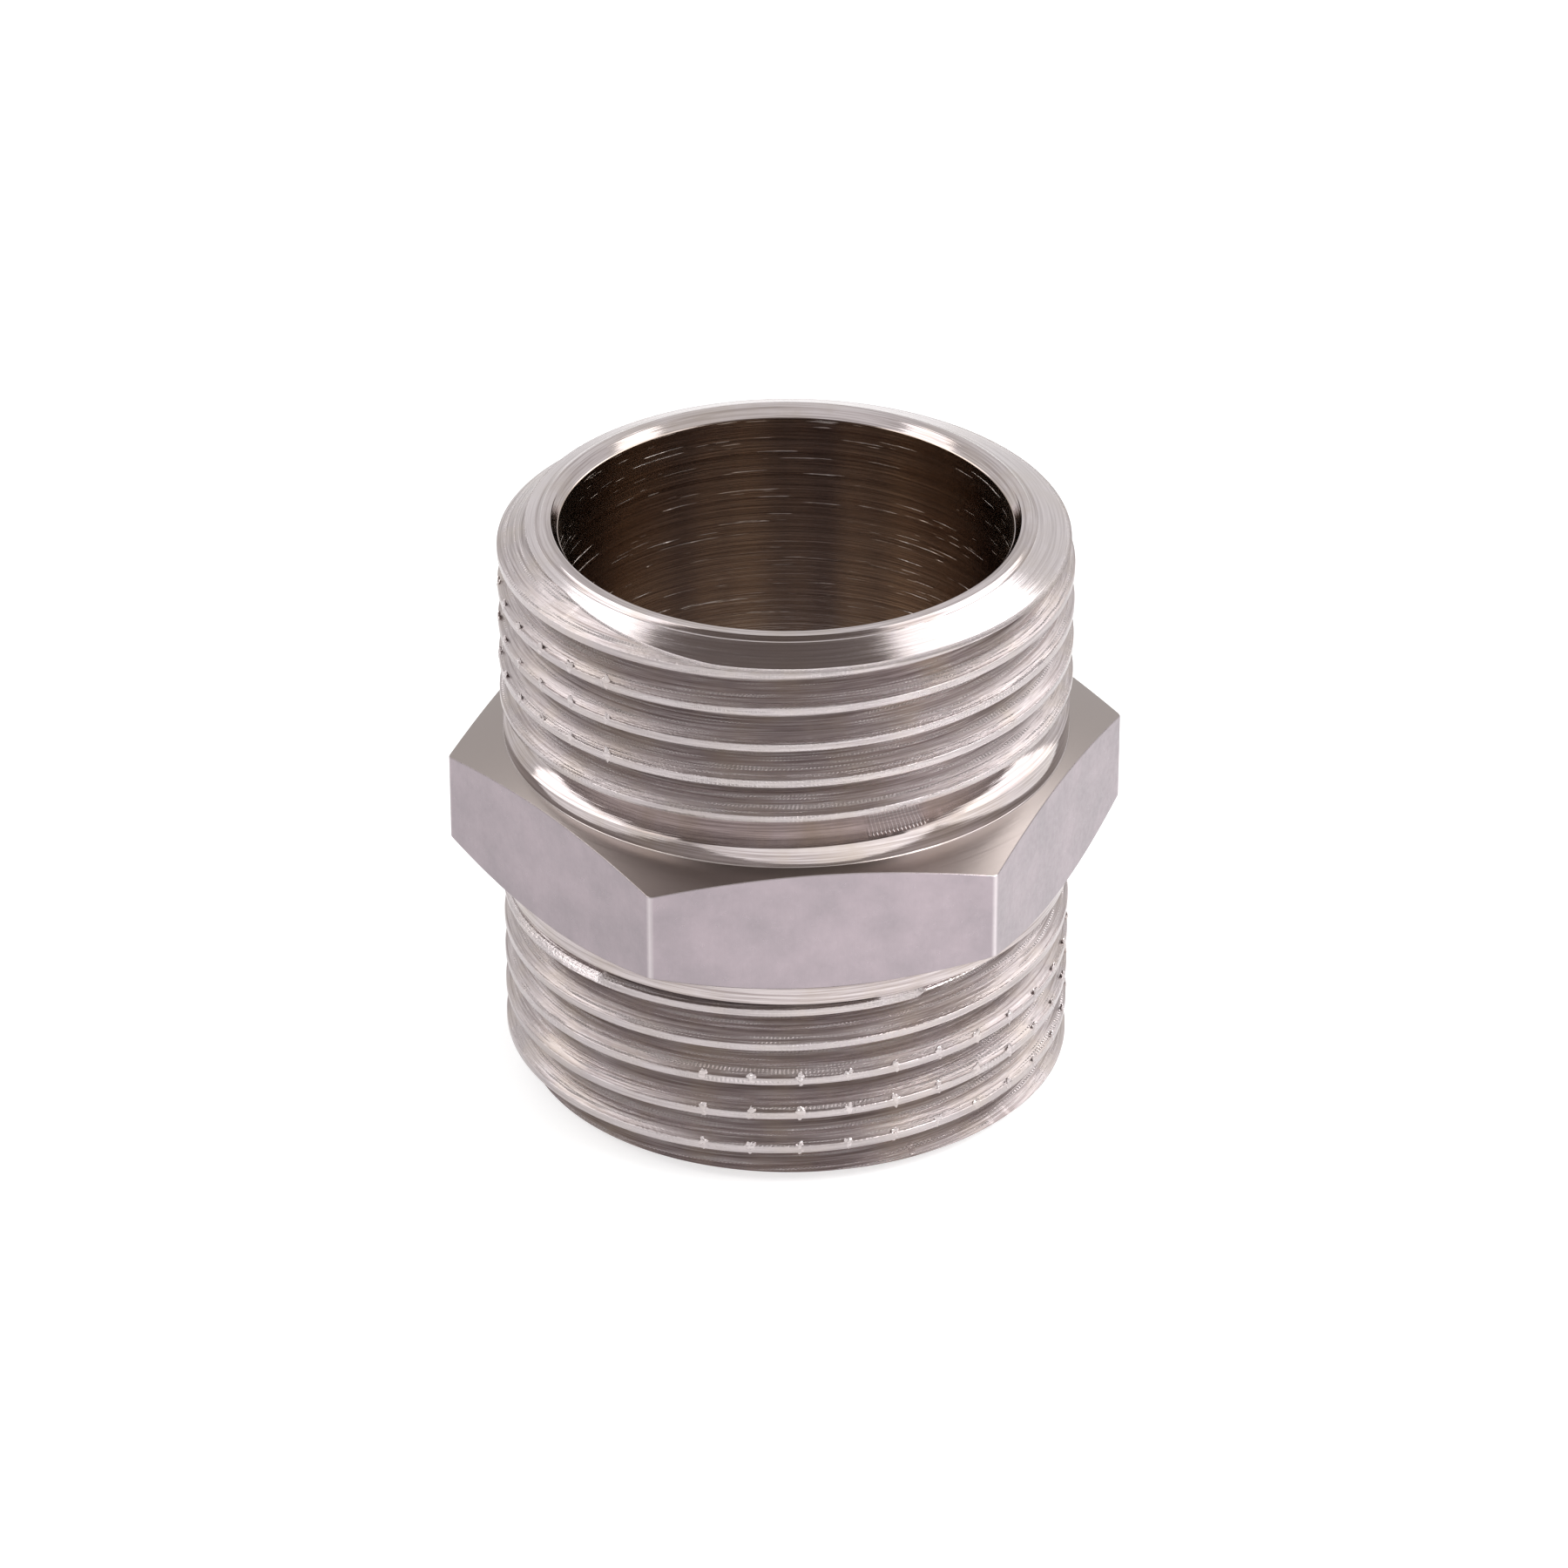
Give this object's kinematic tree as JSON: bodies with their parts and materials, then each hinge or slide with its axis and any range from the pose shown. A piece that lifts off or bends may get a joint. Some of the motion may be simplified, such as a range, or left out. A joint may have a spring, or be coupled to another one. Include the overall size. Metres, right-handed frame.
{
  "type": "hex nipple",
  "caption": "Short pipe nipple with a wrench hexagon between two male parallel pipe threads and a straight through bore.",
  "frame": {"origin": "centre of the lower end face, on the axis of the bore", "axes": "+Z along the bore, from the thread without a relief groove to the thread with one; -Y and +Y are the outward normals of two wrench flats, and +X points at a corner of the hexagon"},
  "size_m": [0.039, 0.034, 0.0349],
  "materials": {
    "nickel_plated_brass": "bright nickel plate over turned brass"
  },
  "bodies": {
    "root": {"nipple_body": "nickel_plated_brass"}
  },
  "joints": []
}
